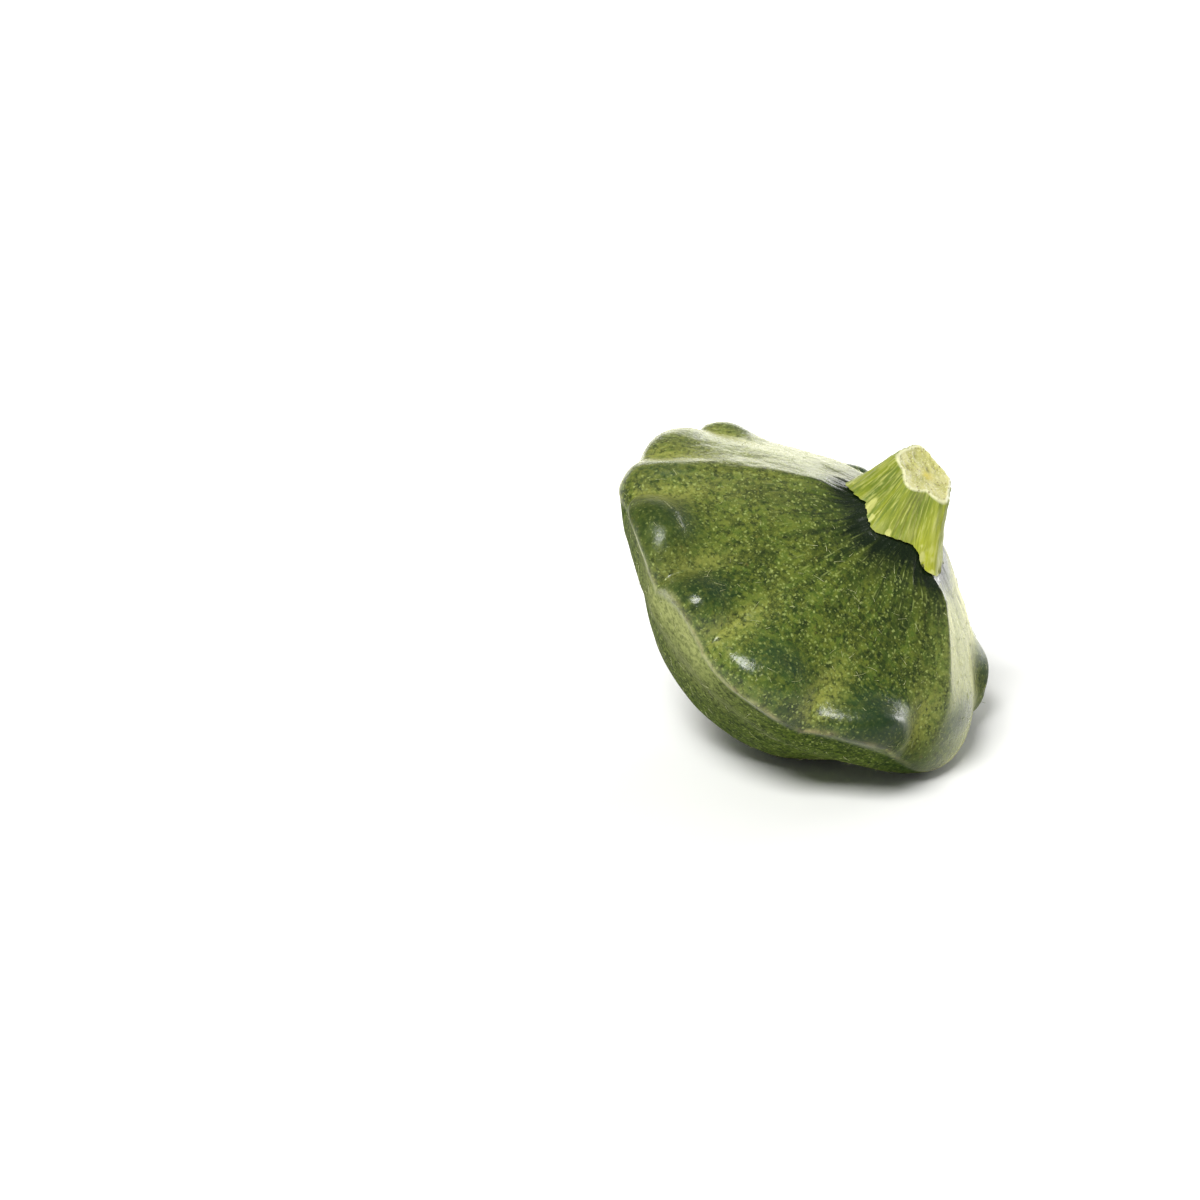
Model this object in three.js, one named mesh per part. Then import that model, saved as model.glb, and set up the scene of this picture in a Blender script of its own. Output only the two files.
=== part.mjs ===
import * as THREE from "three";

// Pattypan squash with its stem stub, lying on the flattened side of its underside.
// Millimetres and degrees, +Z up. Each piece is worked out upright about its own axis,
// with the rim near height 0, and then leaned over as it lies. Places on the skin are given
// by the direction round the axis and the run: the distance from the rim along the skin,
// negative on the crown and positive on the underside.

const LEAN = 37; // axis from the vertical
const HEADING = -22; // direction of the lean, from +X towards +Y
const RIM_HEIGHT = 32.7; // centre of the rim above the ground

// Side view of the skin in a notch between two lobes: radius, height.
const SIDE = [
  [0, 25.0],
  [5.5, 25.0],
  [9.0, 24.0],
  [12, 20.9],
  [16.7, 18.0],
  [24.1, 13.4],
  [31.4, 7.9],
  [37.2, 3.0],
  [40.9, -0.4],
  [41.5, -3.6],
  [39.4, -9.4],
  [33.4, -14.0],
  [28.4, -20.0],
  [22.7, -25.4],
  [14.8, -29.4],
  [7, -32.4],
  [4.2, -33.0],
  [2, -32.3],
  [0, -32.0],
];
const CROWN_SHIFT = [5.2, 1.1]; // the crown sits a little to the low side
const CROWN_HEIGHT = 25;
const TAIL_SHIFT = [3.6, 0.2]; // so does the blossom end
const TAIL_DEPTH = 33;
const RIM_WAVE = 0.9; // the rim rises at the low and high sides and sinks between them
const WAVE_RADIUS = 40;
const WAVE_LIMIT = 44;

// Lobes round the rim: angle of the notch before it, reach, knob on top, droop.
const LOBES = [
  [14, 3.4, 1.4, 2.4],
  [42, 2.5, 0.7, -0.5],
  [66, 2.4, 0.8, -2.8],
  [88, 3.0, 2.1, -5.5],
  [116, 1.6, 0.2, 2.4],
  [138, 2.8, 0.7, 0],
  [155, 1.4, 0.3, -1.1],
  [191, 2.2, 0.8, 1.2],
  [210, 3.6, 0.8, -4.2],
  [240, 2.6, 0.9, -3.8],
  [261, 3.0, 1.1, -1.2],
  [294, 2.6, 2.0, -4],
  [327, 1.8, 1.4, 3.6],
];
const FRUIT_COLUMNS = 8; // mesh columns to a lobe
const STEM_COLUMNS = 5;
const ABOVE_RIM = 8; // how far a lobe runs up the crown
const BELOW_RIM = 4; // how far it runs down the underside
const TRACE = 0.08; // share of its height that carries on past those
const TRACE_START = -34; // run at which that trace begins on the crown
const TRACE_END = 30; // and ends on the underside
const TRACE_FADE = 24;
const KNOB_RUN = -6;
const KNOB_LENGTH = 4.5;
const DROOP_RUN = 1;
const DROOP_LENGTH = 8;

// Blunt ribs from the corners of the stem to the rim: angle, height, roundness.
const RIBS = [
  [-24, 3.6, 1.5],
  [57, 1.4, 4],
  [129, 1.4, 4],
  [197, 2.3, 5],
  [271, 1.4, 5],
];
const RIB_SPREAD = 14;
const RIB_START = [-42, -31]; // a rib rises between these runs
const RIB_END = [-14, 1]; // and sinks again between these

// The underside is flatter on the side that it lies on.
const PRESS = 1.9;
const PRESS_RUN = 26;
const PRESS_LENGTH = 13;
const PRESS_SPREAD = 45;

// Stem: five-angled, spreading over the crown, cut a little aslant. Each outline is a list
// of its corners and hollows by turns: direction, radius.
const STEM_GAP = 0.3;
const STEM_FOOT = [
  [-17, 12.9],
  [22, 12.2],
  [57, 12.2],
  [92, 10.2],
  [129, 11.2],
  [150, 10.6],
  [178, 12.2],
  [222, 9.6],
  [254, 10.4],
  [300, 8.5],
];
const STEM_CUT = [
  [-20, 7.0],
  [18, 5.9],
  [52, 6.6],
  [88, 6.3],
  [125, 8.4],
  [155, 7.0],
  [189, 7.0],
  [224, 5.5],
  [262, 6.9],
  [300, 4.6],
];
const CUT_MIDDLE = [2.4, -0.1, 34.6];
const CUT_SLOPE = 0.15; // the cut faces a little towards -Y
const CUT_DISH = 0.5;
const CUT_BEVEL = 0.95;
const STEM_SHARES = [0, 0.08, 0.2, 0.4, 0.65, 0.85, 0.96];
const STEM_FLARE = 0.85; // the foot spreads faster than the neck
const CUT_RINGS = [0.8, 0.55, 0.3];
const FOOT_RINGS = [0.3, 0.55, 0.75, 0.88, 0.95];

const SAMPLES = 400;

// Rows of the skin's mesh: how many up to each run.
const ROWS = [
  [-30, 13],
  [-16, 5],
  [12, 15],
  [60, 14],
];

const { degToRad: rad, clamp, smoothstep, euclideanModulo } = THREE.MathUtils;
const bell = (x, width) => Math.exp(-((x / width) ** 2));

// Shortest angle between two directions.
function angleFrom(a, b) {
  return euclideanModulo(a - b + 180, 360) - 180;
}

// The side view as a table of points with their outward normals and their run.
function sideTable() {
  const curve = new THREE.SplineCurve(SIDE.map(([r, z]) => new THREE.Vector2(r, z)));
  const points = [];
  for (let i = 0; i <= SAMPLES; i++) points.push(curve.getPoint(i / SAMPLES));
  let length = 0;
  let rim = 0;
  const table = points.map((p, i) => {
    const before = points[Math.max(i - 1, 0)];
    const after = points[Math.min(i + 1, SAMPLES)];
    const along = after.clone().sub(before).normalize();
    if (i > 0) length += p.distanceTo(before);
    if (p.x > points[rim].x) rim = i;
    return { r: p.x, z: p.y, nr: -along.y, nz: along.x, run: length };
  });
  const start = table[rim].run;
  for (const row of table) row.run -= start;
  return table;
}

const TABLE = sideTable();
const FIRST_RUN = TABLE[0].run;
const LAST_RUN = TABLE[SAMPLES].run;

// The row of the table at a value of one of its columns.
function rowAt(key, value, end = SAMPLES) {
  let i = 1;
  while (i < end && TABLE[i][key] < value) i++;
  const a = TABLE[i - 1];
  const b = TABLE[i];
  const t = clamp((value - a[key]) / (b[key] - a[key]), 0, 1);
  const mix = (k) => a[k] + (b[k] - a[k]) * t;
  return { r: mix("r"), z: mix("z"), nr: mix("nr"), nz: mix("nz"), run: mix("run") };
}

// The lobe that holds an angle, and how far its arch has risen there, 0 to 1.
function lobeAt(angle) {
  const turned = euclideanModulo(angle - LOBES[0][0], 360) + LOBES[0][0];
  let i = LOBES.length - 1;
  while (LOBES[i][0] > turned) i--;
  const start = LOBES[i][0];
  const end = i + 1 < LOBES.length ? LOBES[i + 1][0] : LOBES[0][0] + 360;
  const across = (2 * (turned - start)) / (end - start) - 1;
  return { reach: LOBES[i][1], knob: LOBES[i][2], droop: LOBES[i][3], arch: 1 - across ** 2 };
}

function ribAt(angle) {
  let sum = 0;
  for (const [at, height, round] of RIBS) {
    const away = Math.hypot(angleFrom(angle, at), round) - round;
    sum += height * Math.exp(-away / RIB_SPREAD);
  }
  return sum;
}

// A point of the skin, upright, at an angle round the axis and a distance from the rim.
function skin(angle, run) {
  const row = rowAt("run", run);
  const lobe = lobeAt(angle);
  const down = run > 0;
  const fade = smoothstep(down ? TRACE_END - run : run - TRACE_START, 0, TRACE_FADE);
  const window = (1 - TRACE) * bell(run, down ? BELOW_RIM : ABOVE_RIM) + TRACE * fade;
  const ribs = smoothstep(run, ...RIB_START) * (1 - smoothstep(run, ...RIB_END));
  const press = bell(run - PRESS_RUN, PRESS_LENGTH) * bell(angleFrom(angle, 0), PRESS_SPREAD);
  const out =
    lobe.reach * lobe.arch * window +
    lobe.knob * lobe.arch ** 2 * bell(run - KNOB_RUN, KNOB_LENGTH) +
    ribAt(angle) * ribs -
    PRESS * press;
  const r = Math.max(row.r + row.nr * out, 0);
  const a = rad(angle);
  const wave = RIM_WAVE * Math.cos(2 * a) * (Math.min(r, WAVE_LIMIT) / WAVE_RADIUS) ** 2;
  const droop = lobe.droop * lobe.arch * bell(run - DROOP_RUN, DROOP_LENGTH);
  const z = row.z + row.nz * out + wave - droop;
  const up = clamp(z / CROWN_HEIGHT, 0, 1);
  const low = clamp(-z / TAIL_DEPTH, 0, 1);
  return new THREE.Vector3(
    r * Math.cos(a) + CROWN_SHIFT[0] * up + TAIL_SHIFT[0] * low,
    r * Math.sin(a) + CROWN_SHIFT[1] * up + TAIL_SHIFT[1] * low,
    z,
  );
}

// Leans a point over as the squash lies, and presses what would sink in flat on the ground.
const lean = new THREE.Matrix4()
  .makeTranslation(0, 0, RIM_HEIGHT)
  .multiply(new THREE.Matrix4().makeRotationZ(rad(HEADING)))
  .multiply(new THREE.Matrix4().makeRotationY(rad(LEAN)));

function laid(point) {
  point.applyMatrix4(lean);
  point.z = Math.max(point.z, 0);
  return point;
}

// A closed solid from rings of equal count, each seen anticlockwise from the first end,
// with a single point at each end.
function ringSolid(first, rings, last) {
  const points = [first, ...rings.flat(), last];
  const n = rings[0].length;
  const at = (ring, i) => 1 + ring * n + (i % n);
  const faces = [];
  for (let i = 0; i < n; i++) faces.push(0, at(0, i), at(0, i + 1));
  for (let k = 0; k + 1 < rings.length; k++) {
    for (let i = 0; i < n; i++) {
      faces.push(at(k, i), at(k + 1, i), at(k + 1, i + 1));
      faces.push(at(k, i), at(k + 1, i + 1), at(k, i + 1));
    }
  }
  const end = points.length - 1;
  const lastRing = rings.length - 1;
  for (let i = 0; i < n; i++) faces.push(end, at(lastRing, i + 1), at(lastRing, i));
  const geometry = new THREE.BufferGeometry().setFromPoints(points);
  geometry.setIndex(faces);
  geometry.computeVertexNormals();
  return geometry;
}

// Directions of the mesh columns, with one exactly in every notch.
function columnAngles(perLobe) {
  return LOBES.flatMap(([start], i) => {
    const end = i + 1 < LOBES.length ? LOBES[i + 1][0] : LOBES[0][0] + 360;
    return Array.from({ length: perLobe }, (_, j) => start + ((end - start) * j) / perLobe);
  });
}

function fruitGeometry() {
  const angles = columnAngles(FRUIT_COLUMNS);
  const rings = [];
  let start = FIRST_RUN;
  for (const [limit, count] of ROWS) {
    const end = Math.min(limit, LAST_RUN);
    for (let k = 1; k <= count; k++) {
      const run = start + ((end - start) * k) / count;
      if (run < LAST_RUN) rings.push(angles.map((a) => laid(skin(a, run))));
    }
    start = end;
  }
  return ringSolid(laid(skin(0, FIRST_RUN)), rings, laid(skin(0, LAST_RUN)));
}

// Radius of one of the stem's outlines in a direction, eased between corner and hollow.
function outlineRadius(outline, angle) {
  const first = outline[0][0];
  const turned = euclideanModulo(angle - first, 360) + first;
  let i = outline.length - 1;
  while (outline[i][0] > turned) i--;
  const [start, from] = outline[i];
  const [next, to] = outline[(i + 1) % outline.length];
  const end = next > start ? next : next + 360;
  return from + (to - from) * smoothstep(turned, start, end);
}

// A point at the foot of the stem, just clear of the crown.
function footPoint(angle, inset = 1) {
  const crown = rowAt("r", outlineRadius(STEM_FOOT, angle) * inset, SAMPLES / 2);
  return skin(angle, crown.run).add(new THREE.Vector3(0, 0, STEM_GAP / crown.nz));
}

// A point of the cut end.
function cutPoint(angle, inset = 1) {
  const r = outlineRadius(STEM_CUT, angle) * inset;
  const across = r * Math.sin(rad(angle));
  return new THREE.Vector3(
    CUT_MIDDLE[0] + r * Math.cos(rad(angle)),
    CUT_MIDDLE[1] + across,
    CUT_MIDDLE[2] + CUT_SLOPE * across - CUT_DISH * (1 - inset ** 2),
  );
}

// A point of the stem's side, at a share of the way up from the foot to the cut.
function sidePoint(angle, share) {
  const foot = footPoint(angle);
  const cut = cutPoint(angle);
  const point = foot.clone().lerp(cut, share ** STEM_FLARE);
  point.z = foot.z + (cut.z - foot.z) * share;
  return point;
}

function stemGeometry() {
  const angles = columnAngles(STEM_COLUMNS);
  const rings = [];
  const add = (point) => rings.push(angles.map((a) => laid(point(a))));
  for (const inset of CUT_RINGS.slice().reverse()) add((a) => cutPoint(a, inset));
  add((a) => cutPoint(a, CUT_BEVEL));
  for (const share of STEM_SHARES.slice().reverse()) add((a) => sidePoint(a, share));
  for (const inset of FOOT_RINGS.slice().reverse()) add((a) => footPoint(a, inset));
  return ringSolid(laid(cutPoint(0, 0)), rings, laid(footPoint(0, 0)));
}

function mesh(name, geometry, color, roughness) {
  const material = new THREE.MeshStandardMaterial({ color, roughness, metalness: 0 });
  const made = new THREE.Mesh(geometry, material);
  made.name = name;
  return made;
}

const squash = new THREE.Group();
squash.name = "pattypan_squash";
squash.add(mesh("fruit", fruitGeometry(), 0x66793a, 0.3));
squash.add(mesh("stem", stemGeometry(), 0xb4bb62, 0.6));

// The frame's origin is on the ground under the middle of the whole.
const middle = new THREE.Box3().setFromObject(squash).getCenter(new THREE.Vector3());
for (const piece of squash.children) piece.geometry.translate(-middle.x, -middle.y, 0);

export default squash;
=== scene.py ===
# Pattypan squash: the fine skin, stem, hairs and colours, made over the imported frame.
# Sizes are in millimetres and degrees until a mesh is made, and in metres from there.
# Places on the skin are given by the angle round the axis and the run: the distance from the
# rim along the skin, negative on the crown and positive on the underside.
import math
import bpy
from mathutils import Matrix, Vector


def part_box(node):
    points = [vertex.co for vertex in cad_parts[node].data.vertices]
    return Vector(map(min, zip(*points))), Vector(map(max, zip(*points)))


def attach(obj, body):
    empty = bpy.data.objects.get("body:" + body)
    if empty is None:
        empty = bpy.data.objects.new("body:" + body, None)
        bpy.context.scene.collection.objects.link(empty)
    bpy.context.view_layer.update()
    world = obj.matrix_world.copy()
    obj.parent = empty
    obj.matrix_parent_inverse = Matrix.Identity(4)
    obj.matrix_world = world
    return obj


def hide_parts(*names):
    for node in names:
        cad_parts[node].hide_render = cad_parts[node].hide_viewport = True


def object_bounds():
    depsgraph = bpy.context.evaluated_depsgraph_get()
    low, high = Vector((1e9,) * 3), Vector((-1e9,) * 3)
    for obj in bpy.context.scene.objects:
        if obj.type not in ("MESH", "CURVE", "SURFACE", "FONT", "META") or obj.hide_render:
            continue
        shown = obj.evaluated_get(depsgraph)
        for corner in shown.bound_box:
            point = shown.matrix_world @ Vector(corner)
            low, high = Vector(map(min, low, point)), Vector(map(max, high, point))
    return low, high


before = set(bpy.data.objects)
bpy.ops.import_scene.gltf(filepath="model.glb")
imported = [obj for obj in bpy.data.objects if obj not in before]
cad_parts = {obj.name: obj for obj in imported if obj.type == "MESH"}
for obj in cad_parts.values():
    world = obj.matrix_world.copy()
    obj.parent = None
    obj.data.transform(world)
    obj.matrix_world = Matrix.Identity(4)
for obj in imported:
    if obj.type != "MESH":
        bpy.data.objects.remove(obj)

from types import SimpleNamespace

import bpy
import numpy as np
from mathutils import Vector

CAD_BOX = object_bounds()
MM = 0.001

# ---------------------------------------------------------------- the squash's own sizes
# They are the same as in the part's source.

LEAN = 37  # axis from the vertical
HEADING = -22  # direction of the lean, from +X towards +Y
RIM_HEIGHT = 32.7  # centre of the rim above the ground

# Side view of the skin in a notch between two lobes: radius, height.
SIDE = [
    [0, 25.0], [5.5, 25.0], [9.0, 24.0], [12, 20.9], [16.7, 18.0],
    [24.1, 13.4], [31.4, 7.9], [37.2, 3.0], [40.9, -0.4], [41.5, -3.6],
    [39.4, -9.4], [33.4, -14.0], [28.4, -20.0], [22.7, -25.4], [14.8, -29.4],
    [7, -32.4], [4.2, -33.0], [2, -32.3], [0, -32.0],
]
CROWN_SHIFT = [5.2, 1.1]  # the crown sits a little to the low side
CROWN_HEIGHT = 25
TAIL_SHIFT = [3.6, 0.2]  # so does the blossom end
TAIL_DEPTH = 33
RIM_WAVE = 0.9  # the rim rises at the low and high sides and sinks between them
WAVE_RADIUS = 40
WAVE_LIMIT = 44

# Lobes round the rim: angle of the notch before it, reach, knob on top, droop.
LOBES = [
    [14, 3.4, 1.4, 2.4], [42, 2.5, 0.7, -0.5], [66, 2.4, 0.8, -2.8], [88, 3.0, 2.1, -5.5],
    [116, 1.6, 0.2, 2.4], [138, 2.8, 0.7, 0], [155, 1.4, 0.3, -1.1], [191, 2.2, 0.8, 1.2],
    [210, 3.6, 0.8, -4.2], [240, 2.6, 0.9, -3.8], [261, 3.0, 1.1, -1.2], [294, 2.6, 2.0, -4],
    [327, 1.8, 1.4, 3.6],
]
ABOVE_RIM = 8  # how far a lobe runs up the crown
BELOW_RIM = 4  # how far it runs down the underside
TRACE = 0.08  # share of its height that carries on past those
TRACE_START = -34  # run at which that trace begins on the crown
TRACE_END = 30  # and ends on the underside
TRACE_FADE = 24
KNOB_RUN = -6
KNOB_LENGTH = 4.5
DROOP_RUN = 1
DROOP_LENGTH = 8

# Blunt ribs from the corners of the stem to the rim: angle, height, roundness.
RIBS = [[-24, 3.6, 1.5], [57, 1.4, 4], [129, 1.4, 4], [197, 2.3, 5], [271, 1.4, 5]]
RIB_SPREAD = 14
RIB_START = [-42, -31]  # a rib rises between these runs
RIB_END = [-14, 1]  # and sinks again between these

# The flatter patch of the underside that it lies on.
PRESS = 1.9
PRESS_RUN = 26
PRESS_LENGTH = 13
PRESS_SPREAD = 45

# Outlines of the stem, corners and hollows in turn: angle, radius.
STEM_FOOT = [
    [-17, 12.9], [22, 12.2], [57, 12.2], [92, 10.2], [129, 11.2],
    [150, 10.6], [178, 12.2], [222, 9.6], [254, 10.4], [300, 8.5],
]
STEM_CUT = [
    [-20, 7.0], [18, 5.9], [52, 6.6], [88, 6.3], [125, 8.4],
    [155, 7.0], [189, 7.0], [224, 5.5], [262, 6.9], [300, 4.6],
]
STEM_GAP = 0.3
STEM_FLARE = 0.85  # the foot spreads faster than the neck
CUT_MIDDLE = [2.4, -0.1, 34.6]
CUT_SLOPE = 0.15  # the cut faces a little towards -Y
CUT_DISH = 0.5
CUT_BEVEL = 0.95
SAMPLES = 400  # of the side view

# ---------------------------------------------------------------- what only the looks have

SEED = 7
LATTICE = 32  # cells of the noise before it repeats
TINY = 1e-9

FRUIT_COLUMNS = 36  # to a lobe
FRUIT_ROWS = [(-37, 10), (-9, 66), (10, 62), (60, 72)]  # rows up to each run
NOTCH_ROUND = 0.11  # how widely a notch is rounded, as a share of half a lobe
RIM_RADIUS = SIDE[9][0]
CROWN_EDGE = (-2, 1)  # the crown gives way to the underside between these runs
UNDER_EDGE = (0.5, 3)  # and the underside's own look begins between these
FAR_FROM_FOOT = 60  # stands for the distance to the stem below the rim
AXIS_FOOT = -9  # and this for the distance at the axis, under the stem
# Patterns that are drawn out from the stem are looked up on a cylinder: radius, stretch.
SKIN_CYLINDER = (20, 0.13)
STEM_CYLINDER = (7, 0.09)

# Noise on the meshes: size of its features, and the number that seeds it.
CREASES = (1.7, 1)
FINE_CREASES = (0.8, 2)
SWELLS = (6.5, 4)
DIMPLES = (2.4, 5)
SEAM_PATH = (8, 6)
SEAM_BREAKS = (5, 7)
RIDGES = (0.9, 11)
SIDE_STREAKS = (0.4, 12)
SIDE_BUMPS = (1.6, 13)
CUT_LUMPS = (0.9, 14)
CUT_GRAINS = (0.4, 15)
BLOTCHES = (1.1, 16)
FINE_BLOTCHES = (0.9, 17)
TEARS = (1.3, 18)
FINE_TEARS = (0.6, 19)

# Relief of the skin.
SWELL_HEIGHT = 0.16
DIMPLE_HEIGHT = 0.07
CREASE_DEPTH = 0.32
CREASE_REACH = 9  # how far out from the stem the creases fade
FINE_CREASE_SHARE = 0.35
RIDGE_TOP = (135, 45)  # where few creases run: angle, its spread
RIDGE_SPARED = 0.75  # share of the creases that it lacks
RIDGE_BAND = 6  # how much narrower the dark band round the stem is on it
SEAM_HEIGHT = 0.2
SEAM_RUN = 0.9
SEAM_WANDER = 0.9  # how far it leaves that run
SEAM_WIDTH = 0.75
SEAM_LINE = 0.48  # width of its colour
SCAR_RADIUS = 3.4  # of the blossom scar on the underside
SCAR_EDGE = (0.25, 0.8)  # its raised edge: height, width
SKIN_SUNK = 0.12  # the skin lies this much lower, to leave room for the relief
STEM_CLEAR = (-2, 0.6)  # relief begins between these distances from the stem's foot
RELIEF_RISE = 2  # height above the ground where the relief is whole

# Dark knobs and light valleys between the lobes.
KNOB_DARK = 0.65
KNOB_PAINTED_SHADE = 0.3  # painted shade: a knob is painted this much darker for each millimetre of its height
KNOB_ROUND = 1.5
KNOB_UP = 1  # how much further up the crown its colour sits
KNOB_SPAN = 5.5  # length of its colour
VALLEY_WIDTH = 0.3
VALLEY_RUN = -6
VALLEY_LENGTH = 8

# Soft patches of the skin: strength, angle, its spread, run, its length.
# Painted sheen: pale patches painted where the skin is seen at a grazing angle.
PAINTED_SHEEN_BELOW_SEAM = (0.9, 249, 16, 3, 3.5)
PAINTED_SHEEN_UNDERSIDE = (0.5, 252, 26, 11, 8)
PAINTED_SHEEN_FACET = (0.8, 353, 15, -22, 16)
PAINTED_SHEEN_BEHIND = (0.5, 158, 22, -22, 13)
SHADE_AND_DEEP_TONE_PATCHES = [  # painted shade on the tall knob at 310 degrees and the low lobes at 332 and 18 degrees, and the skin's own deep green on the knobs at 225 and 245 degrees
    (1, 310, 11, -3, 5.5), (0.8, 332, 15, 2, 5), (0.5, 18, 10, -5, 8),
    (0.8, 225, 12, -3, 7), (0.7, 245, 9, -4, 5.5),
]
BARE = [  # matt, as the underside is
    (0.9, 20, 13, -4, 9), (0.8, 328, 13, -3, 9), (0.35, 308, 9, -3, 5),
    (0.8, 319, 7, -1, 5), (0.9, 216, 14, 0.5, 3.5),
]
# The pale seam shows best round one side, and faintly in two places: share, angle, spread.
SEAM_BEST = (0.5, 262, 70)
SEAM_FAINT = [(0.8, 338, 16), (0.85, 220, 15)]
PAINTED_LIGHT_SIDE = (182, 42)  # angle and spread of the painted light on the side of the crown that faces the softbox

STEM_COLUMNS = 30
STEM_RINGS = 70
STEM_TOP = 0.97  # share of the side's height where its rings start
RING_CROWDING = 1.15
CUT_RINGS = 26
FOOT_RINGS = 8
FOOT_TORN = 0.22  # how far the torn edge of the stem's foot wanders

# Relief of the stem.
RIDGE_HEIGHT = 0.22
SIDE_ROUGH = 0.12
CUT_ROUGH = 0.16
CUT_FINE = 0.12
CUT_EDGE = (0.28, 0.90, 0.05)  # raised edge of the cut face: height, inset, width
STEM_SUNK = 0.15  # the stem lies this much lower, to leave room for the relief
FOOT_FADE = 0.06  # share of the side's height where its relief is whole

# Pits and a yellow spot on the cut face: direction, inset, width, and the pits' depth.
PITS = [
    (200, 0.55, 0.10, 0.35), (95, 0.45, 0.09, 0.35),
    (140, 0.66, 0.08, 0.3), (20, 0.5, 0.07, 0.25),
]
FULL_PIT = 0.3  # depth at which a pit is wholly dark
YELLOW_SPOT = (70, 0.22, 0.16)
GOLD = (-22, 42)  # yellow side of the stem: angle, spread
GOLD_FADE = 0.7  # how it weakens towards the cut
HOLLOW = (300, 16)  # dark hollow down the stem: angle, spread
HOLLOW_RISE = (0.15, 0.7)  # it darkens between these shares of the side's height
WHITE_START = 0.12  # how strong noise has to be for a white blotch
WHITE_PLACE = (0.08, 0.22)  # share of the side's height where they lie, and its spread

HAIRS = 520
HAIR_RUNS = (-36, 40)
HAIR_CROWDING = 44  # radius of the skin where no hair is left out
HAIR_SIDES = 3
HAIR_STEPS = 4
HAIR_LENGTH = (1.0, 3.2)
HAIR_WIDTH = 0.055  # radius at the root
HAIR_TAPER = 0.8
HAIR_LIFT = (3, 24)  # degrees off the skin
HAIR_BEND = 1.2
HAIR_ARCH = (1.15, 0.45)  # how fast it rises at its root, and how much slower at its tip
HAIR_ROOT = 0.1  # how deep it starts in the skin
HAIR_MARGIN = 0.1  # how far a hair stays inside the frame's box
TANGENT_STEP = 0.3  # to find the skin's directions at its root

# Camera, from the middle of the rim: where the photograph was taken from.
CAMERA_FROM_RIM = (-41.83, -615.2, 245.2)
CAMERA_TILT = 68
LENS = 100
SENSOR = 36

# Lights, in metres and watts: name, place, size, power, and aim if not at the rim.
LIGHTS = [
    ("softbox", (-0.31, -0.74, 0.96), (0.46, 0.36), 19, None),
    ("back", (0.10, 1.80, 0.26), (2.8, 0.36), 9, None),
    ("window", (1.10, 1.00, 0.26), (0.8, 0.36), 11, None),
    ("floor_behind", (0.0, 0.20, 0.90), (2.0, 0.4), 62, (0, 0.97, -0.25)),
]
LAMP = (1.0, 1.0, 0.98)
SKY = (0.97, 0.98, 0.94)
SKY_STRENGTH = 0.24
FLOOR_HALF = 3.0
FLOOR_CORNERS = [(-1, -1), (1, -1), (1, 1), (-1, 1)]


def bell(x, width):
    return np.exp(-((x / width) ** 2))


def smoothstep(x, low, high):
    t = np.clip((x - low) / (high - low), 0, 1)
    return t * t * (3 - 2 * t)


def angle_from(a, b):
    return (a - b + 180) % 360 - 180


def between(limits, share):
    return limits[0] + (limits[1] - limits[0]) * share


# ---------------------------------------------------------------- the skin's formula

def side_table():
    """Points of the side view on a smooth curve, their outward normals and their run."""
    side = np.array(SIDE, float)
    last = len(side) - 1
    place = np.linspace(0, last, SAMPLES + 1)
    i = np.minimum(place.astype(int), last)
    w = (place - i)[:, None]
    p0 = side[np.where(i == 0, i, i - 1)]
    p1 = side[i]
    p2 = side[np.minimum(i + 1, last)]
    p3 = side[np.minimum(i + 2, last)]
    v0 = (p2 - p0) / 2
    v1 = (p3 - p1) / 2
    cubic = 2 * p1 - 2 * p2 + v0 + v1
    square = 3 * p2 - 3 * p1 - 2 * v0 - v1
    points = cubic * w ** 3 + square * w ** 2 + v0 * w + p1
    index = np.arange(SAMPLES + 1)
    along = points[np.minimum(index + 1, SAMPLES)] - points[np.maximum(index - 1, 0)]
    along /= np.linalg.norm(along, axis=1)[:, None]
    steps = np.linalg.norm(np.diff(points, axis=0), axis=1)
    run = np.concatenate([[0], np.cumsum(steps)])
    run -= run[np.argmax(points[:, 0])]
    r, z = points.T
    return {"r": r, "z": z, "nr": -along[:, 1], "nz": along[:, 0], "run": run}


TABLE = side_table()
FIRST_RUN = TABLE["run"][0]
LAST_RUN = TABLE["run"][-1]


def ring_part(starts, angle):
    """Which part of a ring an angle falls in, the angle turned to it, and where parts end."""
    ends = np.append(starts[1:], starts[0] + 360)
    turned = (angle - starts[0]) % 360 + starts[0]
    i = np.clip(np.searchsorted(starts, turned, side="right") - 1, 0, len(starts) - 1)
    return i, turned, ends


def lobe_share(angle):
    """The lobe at an angle, and the place across it from -1 to 1."""
    starts = np.array([lobe[0] for lobe in LOBES], float)
    i, turned, ends = ring_part(starts, angle)
    return i, 2 * (turned - starts[i]) / (ends[i] - starts[i]) - 1


def lobe_at(angle):
    """The lobe's reach, knob and droop at an angle, and how far its arch has risen."""
    i, across = lobe_share(angle)
    values = np.array(LOBES, float)[i]
    return values[..., 1], values[..., 2], values[..., 3], 1 - across ** 2


def notch_fill(angle):
    """What rounds off a notch: to add along the skin's normal, and to take off its height."""
    i, across = lobe_share(angle)
    lobes = np.array(LOBES, float)
    beside = (i + np.where(across < 0, -1, 1)) % len(LOBES)
    shared = lobes[i] + (lobes[beside] - lobes[i]) * (np.abs(across) / 2)[..., None]
    away = 1 - np.abs(across)
    fill = 2 * (np.hypot(away, NOTCH_ROUND) - away)
    return shared[..., 1] * fill, shared[..., 3] * fill


def rib_at(angle):
    """How high the ribs stand at an angle."""
    total = 0
    for at, height, roundness in RIBS:
        away = np.hypot(angle_from(angle, at), roundness) - roundness
        total = total + height * np.exp(-away / RIB_SPREAD)
    return total


def lobe_window(run):
    """How strongly the lobes stand out at a run: fully at the rim, with a trace further off."""
    down = run > 0
    fade = smoothstep(np.where(down, TRACE_END - run, run - TRACE_START), 0, TRACE_FADE)
    return (1 - TRACE) * bell(run, np.where(down, BELOW_RIM, ABOVE_RIM)) + TRACE * fade


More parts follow.
